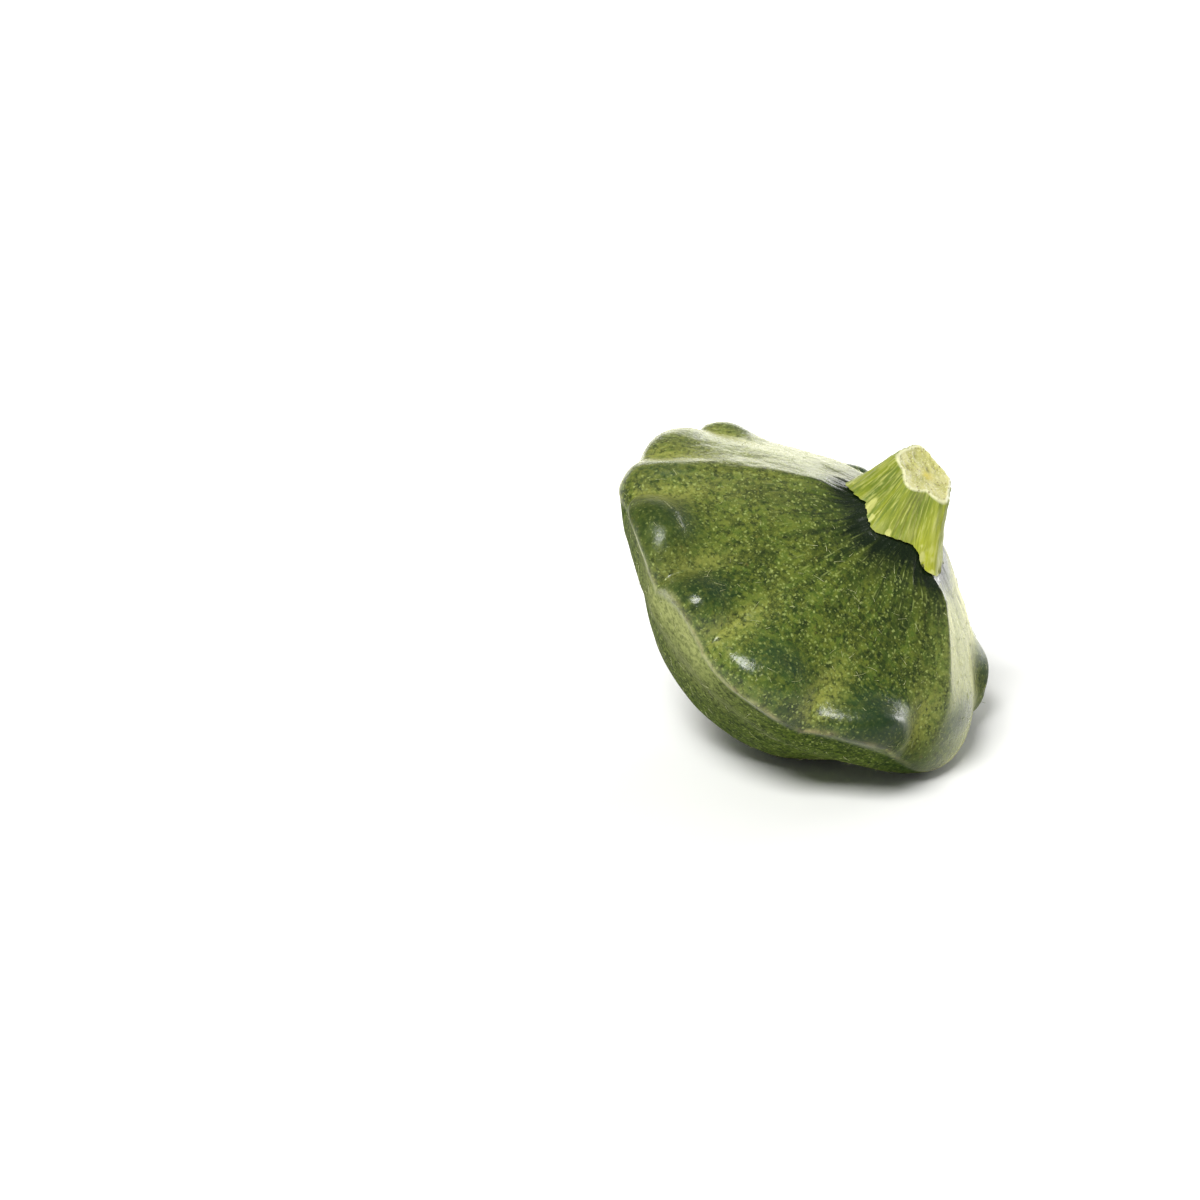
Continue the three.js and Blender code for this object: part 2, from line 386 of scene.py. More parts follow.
def skin(angle, run):
    """Points of the skin, upright, at angles round the axis and runs."""
    row = {k: np.interp(run, TABLE["run"], TABLE[k]) for k in ("r", "z", "nr", "nz")}
    reach, knob, droop, arch = lobe_at(angle)
    ribs = smoothstep(run, *RIB_START) * (1 - smoothstep(run, *RIB_END))
    press = bell(run - PRESS_RUN, PRESS_LENGTH) * bell(angle_from(angle, 0), PRESS_SPREAD)
    out = reach * arch * lobe_window(run) + knob * arch ** 2 * bell(run - KNOB_RUN, KNOB_LENGTH)
    out = out + rib_at(angle) * ribs - PRESS * press
    r = np.maximum(row["r"] + row["nr"] * out, 0)
    a = np.radians(angle)
    wave = RIM_WAVE * np.cos(2 * a) * (np.minimum(r, WAVE_LIMIT) / WAVE_RADIUS) ** 2
    z = row["z"] + row["nz"] * out + wave - droop * arch * bell(run - DROOP_RUN, DROOP_LENGTH)
    up = np.clip(z / CROWN_HEIGHT, 0, 1)
    low = np.clip(-z / TAIL_DEPTH, 0, 1)
    x = r * np.cos(a) + CROWN_SHIFT[0] * up + TAIL_SHIFT[0] * low
    y = r * np.sin(a) + CROWN_SHIFT[1] * up + TAIL_SHIFT[1] * low
    return np.stack([x, y, z], -1)


def lean_matrix():
    """Turns the upright squash over as it lies."""
    t = math.radians(LEAN)
    h = math.radians(HEADING)
    tip = np.array([[math.cos(t), 0, math.sin(t)], [0, 1, 0], [-math.sin(t), 0, math.cos(t)]])
    turn = np.array([[math.cos(h), -math.sin(h), 0], [math.sin(h), math.cos(h), 0], [0, 0, 1]])
    return turn @ tip


LEANED = lean_matrix()


def laid(points, shift=(0.0, 0.0)):
    """Upright points as they lie, with what would sink in pressed flat on the ground."""
    placed = points @ LEANED.T + np.array([shift[0], shift[1], RIM_HEIGHT])
    placed[..., 2] = np.maximum(placed[..., 2], 0)
    return placed


# ---------------------------------------------------------------- noise, normals and meshes

def noise(points, size, seed):
    """Smooth seeded noise from -1 to 1, with features of about that size."""
    table = np.random.default_rng(SEED * 1000 + seed).uniform(-1, 1, (LATTICE,) * 3)
    p = points / size
    cell = np.floor(p).astype(int)
    f = p - cell
    f = f * f * (3 - 2 * f)
    total = 0
    for corner in np.ndindex(2, 2, 2):
        at = (cell + corner) % LATTICE
        weight = np.prod(np.where(np.array(corner), f, 1 - f), axis=-1)
        total = total + weight * table[at[..., 0], at[..., 1], at[..., 2]]
    return total


def grid_normals(points):
    """Outward normals of a grid: rows from the stem end down, columns anticlockwise."""
    across = np.roll(points, -1, axis=1) - np.roll(points, 1, axis=1)
    along = np.gradient(points, axis=0)
    normal = np.cross(along, across)
    return normal / (np.linalg.norm(normal, axis=-1, keepdims=True) + 1e-12)


def column_angles(per_lobe):
    """Angles of a mesh's columns, as many to each lobe, with one in every notch."""
    starts = [lobe[0] for lobe in LOBES] + [LOBES[0][0] + 360]
    spans = zip(starts[:-1], starts[1:])
    return np.concatenate([np.linspace(a, b, per_lobe, endpoint=False) for a, b in spans])


def on_cylinder(angle, height, radius, stretch=1):
    a = np.radians(angle)
    return np.stack([radius * np.cos(a), radius * np.sin(a), height * stretch], -1)


def mesh_object(name, points, faces):
    """A smooth mesh of points in millimetres, in the scene."""
    mesh = bpy.data.meshes.new(name)
    mesh.from_pydata((points * MM).tolist(), [], faces)
    mesh.polygons.foreach_set("use_smooth", np.ones(len(mesh.polygons), bool))
    mesh.update()
    made = bpy.data.objects.new(name, mesh)
    bpy.context.scene.collection.objects.link(made)
    return made


def ring_faces(rows, n):
    """Faces of rings of n points that follow a first point and end in a last one."""
    ring = 1 + np.arange(n)
    following = 1 + (np.arange(n) + 1) % n
    faces = np.stack([np.zeros(n, int), ring, following], 1).tolist()
    for k in range(rows - 1):
        a, b = k * n, (k + 1) * n
        faces += np.stack([ring + a, ring + b, following + b, following + a], 1).tolist()
    a = (rows - 1) * n
    faces += np.stack([np.full(n, rows * n + 1), following + a, ring + a], 1).tolist()
    return faces


def ring_object(name, grid, first, last, attributes):
    """A closed mesh from rings of points and two ends, with values on its points."""
    rows, n = grid.shape[:2]
    points = np.concatenate([first[None], grid.reshape(-1, 3), last[None]])
    made = mesh_object(name, points, ring_faces(rows, n))
    for key, (values, ends) in attributes.items():
        whole = np.concatenate([[ends[0]], values.reshape(rows * n, -1).squeeze(), [ends[1]]])
        kind, field = ("FLOAT_VECTOR", "vector") if whole.ndim == 2 else ("FLOAT", "value")
        layer = made.data.attributes.new(key, kind, "POINT")
        layer.data.foreach_set(field, whole.astype(np.float32).ravel())
    return made


# ---------------------------------------------------------------- the fruit

def outline_radius(outline, angle):
    """Radius of one of the stem's outlines in a direction, eased between corner and hollow."""
    starts, radii = np.array(outline, float).T
    i, turned, ends = ring_part(starts, angle)
    following = radii[(i + 1) % len(outline)]
    return radii[i] + (following - radii[i]) * smoothstep(turned, starts[i], ends[i])


def runs_of_rows(rows):
    """Runs of the fruit's rings, without its two ends."""
    runs = []
    start = FIRST_RUN
    for limit, count in rows:
        end = min(limit, LAST_RUN)
        runs.append(start + (end - start) * np.arange(1, count + 1) / count)
        start = end
    return np.concatenate(runs)[:-1]


# Every point of the fruit's mesh: its angle and run, its place upright and as it lies, where
# drawn-out patterns are looked up, and its distances from the stem's foot and the axis.
ANGLE, RUN = np.meshgrid(column_angles(FRUIT_COLUMNS), runs_of_rows(FRUIT_ROWS))
PLACE = skin(ANGLE, RUN)
LYING = laid(PLACE)
STREAKS = on_cylinder(ANGLE, RUN, *SKIN_CYLINDER)
ROW_RADIUS = np.interp(RUN, TABLE["run"], TABLE["r"])
FOOT = np.where(RUN < 0, ROW_RADIUS - outline_radius(STEM_FOOT, ANGLE), FAR_FROM_FOOT)
TAIL = np.where(RUN > 0, ROW_RADIUS, RIM_RADIUS)
ON_CROWN = 1 - smoothstep(RUN, *CROWN_EDGE)
UNDER = smoothstep(RUN, *UNDER_EDGE)


def shift_to_middle():
    """How far the lying squash has to move to the middle of the fruit's box in the frame."""
    low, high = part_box("fruit")
    return [
        (low[i] + high[i]) / 2 / MM - (LYING[..., i].min() + LYING[..., i].max()) / 2
        for i in (0, 1)
    ]


SHIFT = shift_to_middle()


def near_angle(angle, spread):
    return bell(angle_from(ANGLE, angle), spread)


def patch(strength, angle, spread, run, length):
    """A soft patch of the skin round an angle and a run."""
    return strength * near_angle(angle, spread) * bell(RUN - run, length)


def strongest(patches):
    return np.maximum.reduce([patch(*one) for one in patches])


def crease_map():
    """Creases that run out from the stem's foot."""
    creases = noise(STREAKS, *CREASES) + FINE_CREASE_SHARE * noise(STREAKS, *FINE_CREASES)
    near_stem = np.exp(-np.maximum(FOOT, 0) / CREASE_REACH)
    return np.maximum(creases, 0) * near_stem * ON_CROWN


def seam_map():
    """How far a point is from the wandering seam of the rim, and where the seam is whole."""
    off = RUN - SEAM_RUN - SEAM_WANDER * noise(PLACE, *SEAM_PATH)
    return off, smoothstep(noise(PLACE, *SEAM_BREAKS), -0.5, 0.3)


def fruit_grid(creases, off_seam, whole):
    """Points of the fruit with its notches rounded and its relief, as it lies."""
    fill, sink = notch_fill(ANGLE)
    sink = sink * bell(RUN - DROOP_RUN, DROOP_LENGTH) * smoothstep(np.abs(RUN), 3, 8)
    relief = SWELL_HEIGHT * noise(PLACE, *SWELLS) + DIMPLE_HEIGHT * noise(PLACE, *DIMPLES)
    relief = relief - CREASE_DEPTH * creases * (1 - RIDGE_SPARED * near_angle(*RIDGE_TOP))
    relief = relief + SEAM_HEIGHT * bell(off_seam, SEAM_WIDTH) * (0.5 + 0.5 * whole)
    edge_height, edge_width = SCAR_EDGE
    relief = relief + fill * lobe_window(RUN)
    relief = relief + edge_height * bell(TAIL - SCAR_RADIUS, edge_width)
    relief = relief * smoothstep(FOOT, *STEM_CLEAR) - SKIN_SUNK
    relief = relief * smoothstep(LYING[..., 2], 0, RELIEF_RISE)
    grid = PLACE + grid_normals(PLACE) * relief[..., None]
    grid[..., 2] -= sink
    return laid(grid, SHIFT)


def painted_sheen_map():
    """Painted sheen: where the skin is painted paler and greyer, as it looks at a grazing angle,
    not quite up to the seam or the stem.
    """
    painted_sheen = patch(*PAINTED_SHEEN_BELOW_SEAM) * smoothstep(RUN, -0.5, 2) + patch(*PAINTED_SHEEN_UNDERSIDE)
    painted_sheen += patch(*PAINTED_SHEEN_FACET) * smoothstep(FOOT, 0, 4)
    painted_sheen += patch(*PAINTED_SHEEN_BEHIND) * smoothstep(FOOT, 2, 8)
    return np.minimum(painted_sheen, 1)


def seam_share():
    """How much of the pale seam shows at each angle."""
    best, angle, spread = SEAM_BEST
    share = 1 - best + best * near_angle(angle, spread)
    for faint, angle, spread in SEAM_FAINT:
        share = share * (1 - faint * near_angle(angle, spread))
    return share


def make_fruit():
    """The fruit's mesh, with the values that its material reads on every point."""
    creases = crease_map()
    off_seam, whole = seam_map()
    _, knob_height, _, arch = lobe_at(ANGLE)
    # Taller knobs are painted darker: painted shade over the knobs' own dark green.
    knob = (KNOB_DARK + KNOB_PAINTED_SHADE * knob_height) * arch ** KNOB_ROUND
    knob = knob * bell(RUN - KNOB_RUN + KNOB_UP, KNOB_SPAN)
    valley = bell(1 - np.sqrt(1 - arch), VALLEY_WIDTH) * bell(RUN - VALLEY_RUN, VALLEY_LENGTH)
    band = 1 - smoothstep(FOOT + RIDGE_BAND * near_angle(*RIDGE_TOP), 2, 9)
    blossom = 1 - smoothstep(TAIL, SCAR_RADIUS - 0.6, SCAR_RADIUS + 0.8)
    # Each value on the rings of points, and on the two end points.
    values = {
        "place": (PLACE, [PLACE[0, 0], PLACE[-1, 0]]),
        "streaks": (STREAKS, [STREAKS[0, 0], STREAKS[-1, 0]]),
        "knob": (knob, [0, 0]),
        "valley": (valley * ON_CROWN, [0, 0]),
        "foot": (FOOT, [AXIS_FOOT, FAR_FROM_FOOT]),
        "crease": (creases, [0, 0]),
        "welt": (bell(off_seam, SEAM_LINE) * seam_share() * whole, [0, 0]),
        "shade_and_deep_tone": (strongest(SHADE_AND_DEEP_TONE_PATCHES), [0, 0]),
        "band": (band, [1, 0]),
        "bare": (np.maximum(UNDER, strongest(BARE)), [0, 1]),
        "blossom": (blossom, [0, 1]),
        "painted_light": (near_angle(*PAINTED_LIGHT_SIDE) * ON_CROWN * smoothstep(FOOT, 3, 14), [0, 0]),
        "painted_sheen": (painted_sheen_map(), [0, 0]),
        "under": (UNDER, [0, 1]),
    }
    first = laid(skin(np.array(0.0), np.array(FIRST_RUN)), SHIFT)
    last = laid(skin(np.array(0.0), np.array(LAST_RUN)), SHIFT)
    return ring_object("skin", fruit_grid(creases, off_seam, whole), first, last, values)


# ---------------------------------------------------------------- the stem

def foot_point(angle, inset):
    """Points just above the skin, inside the torn outline of the stem's foot."""
    half = SAMPLES // 2
    edge = on_cylinder(angle, np.zeros_like(angle), STEM_FOOT[0][1])
    torn = FOOT_TORN * (noise(edge, *TEARS) + 0.5 * noise(edge, *FINE_TEARS))
    radius = (outline_radius(STEM_FOOT, angle) + torn) * inset
    run = np.interp(radius, TABLE["r"][:half], TABLE["run"][:half])
    lean_up = np.interp(run, TABLE["run"], TABLE["nz"])
    point = skin(angle, run)
    point[..., 2] += STEM_GAP / lean_up
    return point


def cut_point(angle, inset):
    """Points of the dished cut face, inside its outline."""
    r = outline_radius(STEM_CUT, angle) * inset
    a = np.radians(angle)
    across = r * np.sin(a)
    height = CUT_MIDDLE[2] + CUT_SLOPE * across - CUT_DISH * (1 - inset ** 2)
    return np.stack([CUT_MIDDLE[0] + r * np.cos(a), CUT_MIDDLE[1] + across, height], -1)


def side_point(angle, share):
    """Points between the edge of the foot and the edge of the cut face."""
    foot = foot_point(angle, np.ones_like(angle))
    cut = cut_point(angle, np.ones_like(angle))
    point = foot + (cut - foot) * (share ** STEM_FLARE)[..., None]
    point[..., 2] = foot[..., 2] + (cut[..., 2] - foot[..., 2]) * share
    return point


def spot(angle, inset, direction, distance, width):
    """How much of a round spot lies at a point of the cut face."""
    a = np.radians(angle)
    b = math.radians(direction)
    x = inset * np.cos(a) - distance * math.cos(b)
    y = inset * np.sin(a) - distance * math.sin(b)
    return bell(np.hypot(x, y), width)


def make_stem():
    """The stem's mesh, with the values that its material reads on every point."""
    angles = column_angles(STEM_COLUMNS)
    insets = np.linspace(0, CUT_BEVEL, CUT_RINGS + 1)[1:]
    shares = np.linspace(STEM_TOP, 0, STEM_RINGS) ** RING_CROWDING
    feet = np.linspace(1, 0, FOOT_RINGS + 1)[1:-1]
    cut_angle, cut_inset = np.meshgrid(angles, insets)
    side_angle, side_share = np.meshgrid(angles, shares)
    foot_angle, foot_inset = np.meshgrid(angles, feet)

    # The rings run over the cut face, down the side and in under the foot.
    on_cut, off_side, off_foot = (np.zeros_like(a) for a in (cut_angle, side_angle, foot_angle))
    grid = np.concatenate([
        cut_point(cut_angle, cut_inset),
        side_point(side_angle, side_share),
        foot_point(foot_angle, foot_inset),
    ])
    angle = np.concatenate([cut_angle, side_angle, foot_angle])
    share = np.concatenate([on_cut + 1, side_share, off_foot])
    inset = np.concatenate([cut_inset, off_side + 1, foot_inset])
    on_side = np.concatenate([on_cut, off_side + 1, off_foot])
    on_cut = np.concatenate([on_cut + 1, off_side, off_foot])

    streaks = on_cylinder(angle, grid[..., 2], *STEM_CYLINDER)
    ridges = 1 - 2 * np.abs(noise(streaks, *RIDGES))
    pits = sum(depth * spot(angle, inset, *place) for *place, depth in PITS)
    rough = noise(streaks, *SIDE_STREAKS) + noise(grid, *SIDE_BUMPS)
    side = RIDGE_HEIGHT * ridges + SIDE_ROUGH * rough
    edge_height, edge_inset, edge_width = CUT_EDGE
    cut = CUT_ROUGH * noise(grid, *CUT_LUMPS) + CUT_FINE * noise(grid, *CUT_GRAINS) - pits
    cut = cut + edge_height * bell(inset - edge_inset, edge_width)
    relief = on_side * (side - STEM_SUNK) * smoothstep(share, 0, FOOT_FADE)
    relief = relief + on_cut * (cut - STEM_SUNK)
    points = laid(grid + grid_normals(grid) * relief[..., None], SHIFT)

    gold = bell(angle_from(angle, GOLD[0]), GOLD[1]) * (1 - share) ** GOLD_FADE
    blotches = noise(streaks, *BLOTCHES) + 0.6 * noise(grid, *FINE_BLOTCHES)
    white_share, white_spread = WHITE_PLACE
    white = np.maximum(blotches - WHITE_START, 0) * bell(share - white_share, white_spread)
    hollow = bell(angle_from(angle, HOLLOW[0]), HOLLOW[1]) * smoothstep(share, *HOLLOW_RISE)
    values = {
        "place": (grid, [grid[0, 0], grid[-1, 0]]),
        "streaks": (streaks, [streaks[0, 0], streaks[-1, 0]]),
        "cut": (on_cut, [1, 0]),
        "inset": (inset, [0, 0]),
        "pits": (np.clip(pits / FULL_PIT, 0, 1) * on_cut, [0, 0]),
        "yellow": (spot(angle, inset, *YELLOW_SPOT) * on_cut, [0, 0]),
        "gold": (gold, [0, 0]),
        "white": (white * on_side, [0, 0]),
        "hollow": (hollow * on_side, [0, 0]),
        "ridge": (ridges * on_side, [0, 0]),
    }
    first = laid(cut_point(np.array(0.0), np.array(0.0)), SHIFT)
    last = laid(foot_point(np.array(0.0), np.array(0.0)), SHIFT)
    return ring_object("stalk", points, first, last, values)


# ---------------------------------------------------------------- hairs

def hair_spine(angle, run, draw):
    """Points along one hair, and the two directions across it, from its random draws."""
    here = laid(skin(np.array(angle), np.array(run)), SHIFT)
    along = laid(skin(np.array(angle), np.array(run + TANGENT_STEP)), SHIFT) - here
    across = laid(skin(np.array(angle + TANGENT_STEP), np.array(run)), SHIFT) - here
    along /= np.linalg.norm(along) + TINY
    across /= np.linalg.norm(across) + TINY
    normal = np.cross(along, across)
    heading = draw[1] * 2 * math.pi
    lift = math.radians(between(HAIR_LIFT, draw[2] ** 2))
    length = between(HAIR_LENGTH, draw[3] ** 2)
    flat = along * math.cos(heading) + across * math.sin(heading)
    side = np.cross(normal, flat)
    bend = (draw[4] - 0.5) * HAIR_BEND
    spine = []
    for k in range(HAIR_STEPS + 1):
        t = k / HAIR_STEPS
        forward = flat * math.cos(lift) * t + side * bend * t * t * 0.5
        rise = normal * (math.sin(lift) * t * (HAIR_ARCH[0] - HAIR_ARCH[1] * t))
        spine.append(here + (forward + rise) * length - normal * HAIR_ROOT)
    return np.array(spine), side, normal


def add_hair(points, faces, spine, side, normal):
    """A closed tapered hair along a spine, added to lists of points and faces."""
    base = len(points)
    for k in range(HAIR_STEPS):
        width = HAIR_WIDTH * (1 - HAIR_TAPER * k / HAIR_STEPS)
        for s in range(HAIR_SIDES):
            turn = 2 * math.pi * s / HAIR_SIDES
            points.append(spine[k] + (side * math.cos(turn) + normal * math.sin(turn)) * width)
    points.append(spine[-1])
    tip = len(points) - 1
    for k in range(HAIR_STEPS):
        ring = base + k * HAIR_SIDES
        for s in range(HAIR_SIDES):
            a, b = ring + s, ring + (s + 1) % HAIR_SIDES
            if k < HAIR_STEPS - 1:
                faces.append((a, b, b + HAIR_SIDES, a + HAIR_SIDES))
            else:
                faces.append((a, b, tip))
    faces.append(tuple(base + s for s in reversed(range(HAIR_SIDES))))


def make_hairs():
    """Short tapered hairs strewn over the crown and underside, as one mesh."""
    rng = np.random.default_rng(SEED)
    low, high = (np.array(corner) / MM for corner in CAD_BOX)
    points = []
    faces = []
    made = 0
    while made < HAIRS:
        angle = rng.uniform(0, 360)
        run = rng.uniform(*HAIR_RUNS)
        draw = rng.uniform(size=5)
        if draw[0] > np.interp(run, TABLE["run"], TABLE["r"]) / HAIR_CROWDING:
            continue
        made += 1
        spine, side, normal = hair_spine(angle, run, draw)
        inside = np.all(spine > low + HAIR_MARGIN) and np.all(spine < high - HAIR_MARGIN)
        if inside:
            add_hair(points, faces, spine, side, normal)
    return mesh_object("hairs", np.array(points), faces)


# ---------------------------------------------------------------- materials

BUMP_DISTANCE = 0.0003  # metres


class Look:
    """A material and short calls that add nodes to it. Values are numbers, colours or sockets."""

    def __init__(self, name):
        self.material = bpy.data.materials.new(name)
        self.material.use_nodes = True
        self.tree = self.material.node_tree
        self.shader = self.tree.nodes["Principled BSDF"]

    def node(self, kind, **settings):
        made = self.tree.nodes.new(kind)
        for key, value in settings.items():
            setattr(made, key, value)
        return made

    def put(self, socket, value):
        if isinstance(value, bpy.types.NodeSocket):
            self.tree.links.new(value, socket)
        elif isinstance(value, tuple) and len(value) == 3 and len(socket.default_value) == 4:
            socket.default_value = (*value, 1)
        else:
            socket.default_value = value

    def attribute(self, name, vector=False):
        made = self.node("ShaderNodeAttribute", attribute_name=name)
        return made.outputs["Vector" if vector else "Fac"]

    def object_place(self):
        return self.node("ShaderNodeTexCoord").outputs["Object"]

    def math(self, operation, a, b):
        made = self.node("ShaderNodeMath", operation=operation)
        self.put(made.inputs[0], a)
        self.put(made.inputs[1], b)
        return made.outputs[0]

    def add(self, a, b):
        return self.math("ADD", a, b)

    def times(self, a, b):
        return self.math("MULTIPLY", a, b)

    def ramp(self, value, low, high, start=0.0, end=1.0):
        """A smooth change from start to end as the value goes from low to high."""
        made = self.node("ShaderNodeMapRange", interpolation_type="SMOOTHSTEP")
        for socket, number in zip(made.inputs, (value, low, high, start, end)):
            self.put(socket, number)
        return made.outputs[0]

    def fade(self, value, low, high):
        """A smooth change from 1 to 0 as the value goes from low to high."""
        return self.ramp(value, low, high, 1.0, 0.0)

    def noise_node(self, vector, scale, detail=2.0, roughness=0.5):
        made = self.node("ShaderNodeTexNoise")
        self.put(made.inputs["Vector"], vector)
        self.put(made.inputs["Scale"], scale)
        self.put(made.inputs["Detail"], detail)
        self.put(made.inputs["Roughness"], roughness)
        return made

    def noise(self, vector, *pattern):
        return self.noise_node(vector, *pattern).outputs[0]

    def cells(self, vector, scale):
        """Distance to the nearest of many strewn points, and a random number for each."""
        made = self.node("ShaderNodeTexVoronoi")
        self.put(made.inputs["Vector"], vector)
        self.put(made.inputs["Scale"], scale)
        self.put(made.inputs["Randomness"], 1.0)
        parts = self.node("ShaderNodeSeparateColor")
        self.put(parts.inputs[0], made.outputs["Color"])
        return made.outputs["Distance"], parts.outputs[0]

    def dots(self, vector, scale, size, picked):
        """Soft round dots of some of the cells: their size and softness, and which are picked."""
        away, pick = self.cells(vector, scale)
        return self.times(self.fade(away, *size), self.ramp(pick, *picked))

    def mix(self, share, a, b):
        made = self.node("ShaderNodeMix", data_type="RGBA")
        self.put(made.inputs[0], share)
        self.put(made.inputs[6], a)
        self.put(made.inputs[7], b)
        return made.outputs[2]

    def over(self, color, tint, share, strength):
        """A colour with another laid over it, where share says and as strongly as strength."""
        return self.mix(self.times(share, strength), color, tint)

    def shift(self, vector, by, amount):
        """A vector moved by an amount of another."""
        made = self.node("ShaderNodeVectorMath", operation="MULTIPLY_ADD")
        self.put(made.inputs[0], by)
        self.put(made.inputs[1], (amount, amount, amount))
        self.put(made.inputs[2], vector)
        return made.outputs[0]

    def bump(self, height, strength):
        """Fine relief that is only shaded."""
        made = self.node("ShaderNodeBump")
        self.put(made.inputs["Strength"], strength)
        self.put(made.inputs["Distance"], BUMP_DISTANCE)
        self.put(made.inputs["Height"], height)
        self.put(self.shader.inputs["Normal"], made.outputs[0])

    def finish(self, color, roughness, **others):
        self.put(self.shader.inputs["Base Color"], color)
        self.put(self.shader.inputs["Roughness"], roughness)
        for key, value in others.items():
            self.put(self.shader.inputs[key.replace("_", " ")], value)
        return self.material


# Noise of the skin's colours, which is looked up in millimetres: scale, detail, roughness.
# The numbers of a ramp on it say where a colour begins and where it is whole.
WIDE = (0.13, 3.0, 0.55)
PATCHY = (0.5, 4.0, 0.65)
FINE = (0.95, 4.0, 0.72)
DRAWN = (0.55, 5.0, 0.65)
SECTOR = (0.2, 3.0, 0.6)
FLECKED = (0.9, 4.0, 0.65)
SCARRED = (0.32, 5.0, 0.7)
UNEVEN = (0.8, 3.0)
WOBBLE = (1.3,)
WOBBLE_AMOUNT = 0.9
# Strewn cells: their scale, and for the pale speckles also their size and strength.
SPECKLES = ((0.80, 0.30, 0.85), (1.45, 0.42, 0.6))
DASHES = 1.5
PORES = 1.45

DARK_GREEN = (0.018, 0.034, 0.006)
MID_GREEN = (0.070, 0.112, 0.015)
OLIVE = (0.138, 0.166, 0.023)
KNOB_GREEN = (0.013, 0.044, 0.009)
DEEP_GREEN_AND_SHADE = (0.007, 0.024, 0.006)
VALLEY_AND_PAINTED_LIGHT_GREEN = (0.245, 0.265, 0.055)
BLACK_GREEN = (0.005, 0.011, 0.004)
UNDER_GREEN = (0.082, 0.124, 0.018)
SPECKLE = (0.300, 0.355, 0.105)
PALE_LINE = (0.380, 0.390, 0.180)
BROWN_LINE = (0.300, 0.250, 0.120)
CORK = (0.300, 0.240, 0.120)
# The next colour is painted sheen, not the skin's own colour.
PAINTED_SHEEN = (0.400, 0.430, 0.165)
SCAR = (0.120, 0.075, 0.028)
SHEEN = (0.900, 0.880, 0.420)


def skin_patterns(look):
    """The patterns that several layers of the skin share."""
    place = look.attribute("place", vector=True)
    streaks = look.attribute("streaks", vector=True)
    foot = look.attribute("foot")
    wobble = look.noise_node(place, *WOBBLE).outputs["Color"]
    return SimpleNamespace(
        place=place,
        streaks=streaks,
        foot=foot,
        near=look.fade(foot, 1.0, 24.0),
        wide=look.noise(place, *WIDE),
        patchy=look.noise(place, *PATCHY),
        fine=look.noise(place, *FINE),
        drawn=look.noise(streaks, *DRAWN),
        shaken=look.shift(place, wobble, WOBBLE_AMOUNT),
        knob=look.attribute("knob"),
        under=look.attribute("under"),
        painted_sheen=look.attribute("painted_sheen"),
        shade_and_deep_tone=look.attribute("shade_and_deep_tone"),
    )


def mottled_ground(look, p):
    """Dark green clouded with olive, drawn out into streaks near the stem."""
    cloud = look.add(look.times(p.wide, 0.45), look.times(p.patchy, 0.55))
    color = look.mix(look.ramp(cloud, 0.43, 0.57), DARK_GREEN, MID_GREEN)
    color = look.over(color, OLIVE, look.ramp(p.fine, 0.42, 0.66), 0.75)
    light = look.times(look.ramp(p.drawn, 0.50, 0.64), p.near)
    color = look.over(color, OLIVE, light, 0.55)
    gloom = look.times(look.ramp(p.drawn, 0.50, 0.36), p.near)
    color = look.over(color, BLACK_GREEN, gloom, 0.9)
    # Wide sectors of the crown are darker or lighter.
    sector = look.noise(p.streaks, *SECTOR)
    above = look.fade(p.under, 0.0, 1.0)
    color = look.over(color, DARK_GREEN, look.ramp(sector, 0.50, 0.36), look.times(above, 0.6))
    color = look.over(color, OLIVE, look.ramp(sector, 0.52, 0.66), look.times(above, 0.35))
    # Darker towards the stem's foot: partly the skin's own dark green, partly painted shade round
    # the stem.
    return look.mix(look.ramp(p.foot, 2.0, 13.0, 0.45, 0.0), color, DARK_GREEN)


def knobs_and_valleys(look, p, color):
    """Darker knobs, lighter valleys and underside, painted light on one side of the crown,
    painted sheen patches, and deep green patches that are partly painted shade.
    """
    knob = look.times(p.knob, look.ramp(p.fine, 0.35, 0.62, 1.0, 0.45))
    color = look.over(color, KNOB_GREEN, knob, 0.95)
    # Painted light: the crown's side towards the softbox is painted paler, along with the
    # valleys' own paler green.
    pale = look.add(look.attribute("valley"), look.times(look.attribute("painted_light"), 0.45))
    valley = look.times(pale, look.ramp(p.fine, 0.30, 0.62, 0.15, 1.0))
    color = look.over(color, VALLEY_AND_PAINTED_LIGHT_GREEN, valley, 0.95)
    under = look.mix(look.ramp(p.fine, 0.38, 0.6), DARK_GREEN, UNDER_GREEN)
    color = look.over(color, under, p.under, 0.7)
    # Painted sheen, laid in pale patches where the skin is seen at a grazing angle.
    color = look.over(color, PAINTED_SHEEN, p.painted_sheen, look.ramp(p.fine, 0.34, 0.60, 0.45, 1.0))
    # Deep green on the tallest knobs and in the patches: partly the knobs' own deep green, partly
    # painted shade.
    deep = look.ramp(p.knob, 0.6, 1.15, 0.0, 0.6)
    deep = look.math("MAXIMUM", deep, look.times(p.shade_and_deep_tone, 0.8))
    return look.mix(deep, color, DEEP_GREEN_AND_SHADE)


